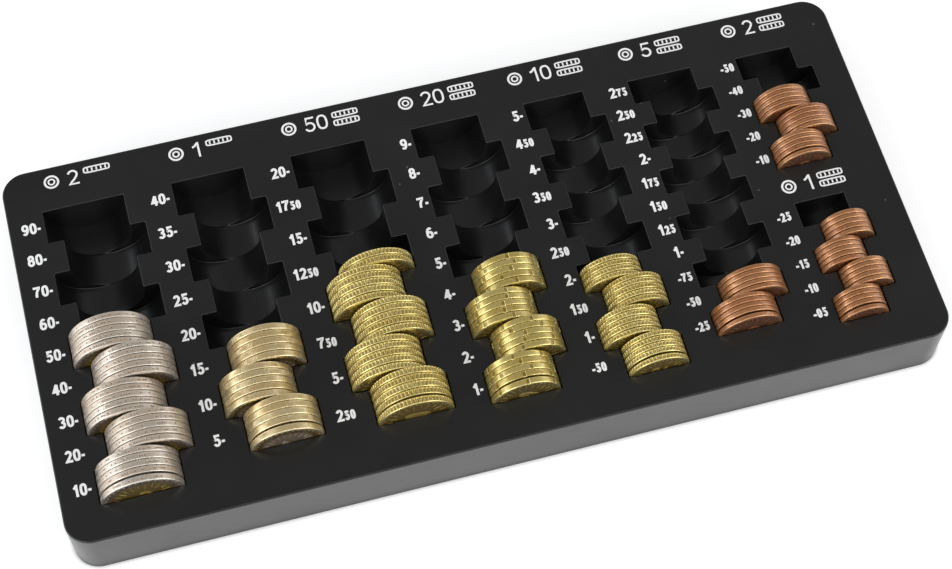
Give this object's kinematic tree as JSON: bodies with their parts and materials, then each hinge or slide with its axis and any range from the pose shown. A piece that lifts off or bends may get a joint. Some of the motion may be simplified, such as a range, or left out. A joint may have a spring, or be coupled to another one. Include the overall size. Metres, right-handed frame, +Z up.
{
  "type": "coin counting tray",
  "caption": "Low black counting tray with stepped chutes of round section; coins stand on edge in staggered rows, and each row of coins lifts out by itself",
  "frame": {"origin": "middle of the flat rim that the tray rests on, under the middle of the tray", "axes": "+X along the tray to the right, +Y to its rear edge, +Z up"},
  "size_m": [0.28, 0.1304, 0.0319],
  "materials": {
    "black_plastic": "satin black injection moulding",
    "silver_coin": "worn coin metal, silver ring round a gold core",
    "gold_coin": "worn yellow coin alloy",
    "copper_coin": "worn copper plating"
  },
  "bodies": {
    "tray": {"deck": "black_plastic", "front_wall": "black_plastic", "rear_wall": "black_plastic", "left_wall": "black_plastic", "right_wall": "black_plastic", "chute_2_euro": "black_plastic", "chute_1_euro": "black_plastic", "chute_50_cent": "black_plastic", "chute_20_cent": "black_plastic", "chute_10_cent": "black_plastic", "chute_5_cent": "black_plastic", "chute_2_cent": "black_plastic", "chute_1_cent": "black_plastic"},
    "stack_2_euro_row_5": {"coins_2_euro_row_5": "silver_coin"},
    "stack_2_euro_row_6": {"coins_2_euro_row_6": "silver_coin"},
    "stack_2_euro_row_7": {"coins_2_euro_row_7": "silver_coin"},
    "stack_2_euro_row_8": {"coins_2_euro_row_8": "silver_coin"},
    "stack_2_euro_row_9": {"coins_2_euro_row_9": "silver_coin"},
    "stack_1_euro_row_6": {"coins_1_euro_row_6": "gold_coin"},
    "stack_1_euro_row_7": {"coins_1_euro_row_7": "gold_coin"},
    "stack_1_euro_row_8": {"coins_1_euro_row_8": "gold_coin"},
    "stack_50_cent_row_4": {"coins_50_cent_row_4": "gold_coin"},
    "stack_50_cent_row_5": {"coins_50_cent_row_5": "gold_coin"},
    "stack_50_cent_row_6": {"coins_50_cent_row_6": "gold_coin"},
    "stack_50_cent_row_7": {"coins_50_cent_row_7": "gold_coin"},
    "stack_50_cent_row_8": {"coins_50_cent_row_8": "gold_coin"},
    "stack_20_cent_row_6": {"coins_20_cent_row_6": "gold_coin"},
    "stack_20_cent_row_7": {"coins_20_cent_row_7": "gold_coin"},
    "stack_20_cent_row_8": {"coins_20_cent_row_8": "gold_coin"},
    "stack_20_cent_row_9": {"coins_20_cent_row_9": "gold_coin"},
    "stack_10_cent_row_7": {"coins_10_cent_row_7": "gold_coin"},
    "stack_10_cent_row_8": {"coins_10_cent_row_8": "gold_coin"},
    "stack_10_cent_row_9": {"coins_10_cent_row_9": "gold_coin"},
    "stack_10_cent_row_10": {"coins_10_cent_row_10": "gold_coin"},
    "stack_5_cent_row_10": {"coins_5_cent_row_10": "copper_coin"},
    "stack_5_cent_row_11": {"coins_5_cent_row_11": "copper_coin"},
    "stack_2_cent_row_3": {"coins_2_cent_row_3": "copper_coin"},
    "stack_2_cent_row_4": {"coins_2_cent_row_4": "copper_coin"},
    "stack_2_cent_row_5": {"coins_2_cent_row_5": "copper_coin"},
    "stack_1_cent_row_2": {"coins_1_cent_row_2": "copper_coin"},
    "stack_1_cent_row_3": {"coins_1_cent_row_3": "copper_coin"},
    "stack_1_cent_row_4": {"coins_1_cent_row_4": "copper_coin"},
    "stack_1_cent_row_5": {"coins_1_cent_row_5": "copper_coin"}
  },
  "joints": [
    {"name": "lift_2_euro_row_5", "type": "slide", "parent": "tray", "child": "stack_2_euro_row_5", "axis": [0, 0, 1], "range_m": [0, 0.03]},
    {"name": "lift_2_euro_row_6", "type": "slide", "parent": "tray", "child": "stack_2_euro_row_6", "axis": [0, 0, 1], "range_m": [0, 0.03]},
    {"name": "lift_2_euro_row_7", "type": "slide", "parent": "tray", "child": "stack_2_euro_row_7", "axis": [0, 0, 1], "range_m": [0, 0.03]},
    {"name": "lift_2_euro_row_8", "type": "slide", "parent": "tray", "child": "stack_2_euro_row_8", "axis": [0, 0, 1], "range_m": [0, 0.03]},
    {"name": "lift_2_euro_row_9", "type": "slide", "parent": "tray", "child": "stack_2_euro_row_9", "axis": [0, 0, 1], "range_m": [0, 0.03]},
    {"name": "lift_1_euro_row_6", "type": "slide", "parent": "tray", "child": "stack_1_euro_row_6", "axis": [0, 0, 1], "range_m": [0, 0.03]},
    {"name": "lift_1_euro_row_7", "type": "slide", "parent": "tray", "child": "stack_1_euro_row_7", "axis": [0, 0, 1], "range_m": [0, 0.03]},
    {"name": "lift_1_euro_row_8", "type": "slide", "parent": "tray", "child": "stack_1_euro_row_8", "axis": [0, 0, 1], "range_m": [0, 0.03]},
    {"name": "lift_50_cent_row_4", "type": "slide", "parent": "tray", "child": "stack_50_cent_row_4", "axis": [0, 0, 1], "range_m": [0, 0.03]},
    {"name": "lift_50_cent_row_5", "type": "slide", "parent": "tray", "child": "stack_50_cent_row_5", "axis": [0, 0, 1], "range_m": [0, 0.03]},
    {"name": "lift_50_cent_row_6", "type": "slide", "parent": "tray", "child": "stack_50_cent_row_6", "axis": [0, 0, 1], "range_m": [0, 0.03]},
    {"name": "lift_50_cent_row_7", "type": "slide", "parent": "tray", "child": "stack_50_cent_row_7", "axis": [0, 0, 1], "range_m": [0, 0.03]},
    {"name": "lift_50_cent_row_8", "type": "slide", "parent": "tray", "child": "stack_50_cent_row_8", "axis": [0, 0, 1], "range_m": [0, 0.03]},
    {"name": "lift_20_cent_row_6", "type": "slide", "parent": "tray", "child": "stack_20_cent_row_6", "axis": [0, 0, 1], "range_m": [0, 0.03]},
    {"name": "lift_20_cent_row_7", "type": "slide", "parent": "tray", "child": "stack_20_cent_row_7", "axis": [0, 0, 1], "range_m": [0, 0.03]},
    {"name": "lift_20_cent_row_8", "type": "slide", "parent": "tray", "child": "stack_20_cent_row_8", "axis": [0, 0, 1], "range_m": [0, 0.03]},
    {"name": "lift_20_cent_row_9", "type": "slide", "parent": "tray", "child": "stack_20_cent_row_9", "axis": [0, 0, 1], "range_m": [0, 0.03]},
    {"name": "lift_10_cent_row_7", "type": "slide", "parent": "tray", "child": "stack_10_cent_row_7", "axis": [0, 0, 1], "range_m": [0, 0.03]},
    {"name": "lift_10_cent_row_8", "type": "slide", "parent": "tray", "child": "stack_10_cent_row_8", "axis": [0, 0, 1], "range_m": [0, 0.03]},
    {"name": "lift_10_cent_row_9", "type": "slide", "parent": "tray", "child": "stack_10_cent_row_9", "axis": [0, 0, 1], "range_m": [0, 0.03]},
    {"name": "lift_10_cent_row_10", "type": "slide", "parent": "tray", "child": "stack_10_cent_row_10", "axis": [0, 0, 1], "range_m": [0, 0.03]},
    {"name": "lift_5_cent_row_10", "type": "slide", "parent": "tray", "child": "stack_5_cent_row_10", "axis": [0, 0, 1], "range_m": [0, 0.03]},
    {"name": "lift_5_cent_row_11", "type": "slide", "parent": "tray", "child": "stack_5_cent_row_11", "axis": [0, 0, 1], "range_m": [0, 0.03]},
    {"name": "lift_2_cent_row_3", "type": "slide", "parent": "tray", "child": "stack_2_cent_row_3", "axis": [0, 0, 1], "range_m": [0, 0.03]},
    {"name": "lift_2_cent_row_4", "type": "slide", "parent": "tray", "child": "stack_2_cent_row_4", "axis": [0, 0, 1], "range_m": [0, 0.03]},
    {"name": "lift_2_cent_row_5", "type": "slide", "parent": "tray", "child": "stack_2_cent_row_5", "axis": [0, 0, 1], "range_m": [0, 0.03]},
    {"name": "lift_1_cent_row_2", "type": "slide", "parent": "tray", "child": "stack_1_cent_row_2", "axis": [0, 0, 1], "range_m": [0, 0.03]},
    {"name": "lift_1_cent_row_3", "type": "slide", "parent": "tray", "child": "stack_1_cent_row_3", "axis": [0, 0, 1], "range_m": [0, 0.03]},
    {"name": "lift_1_cent_row_4", "type": "slide", "parent": "tray", "child": "stack_1_cent_row_4", "axis": [0, 0, 1], "range_m": [0, 0.03]},
    {"name": "lift_1_cent_row_5", "type": "slide", "parent": "tray", "child": "stack_1_cent_row_5", "axis": [0, 0, 1], "range_m": [0, 0.03]}
  ]
}
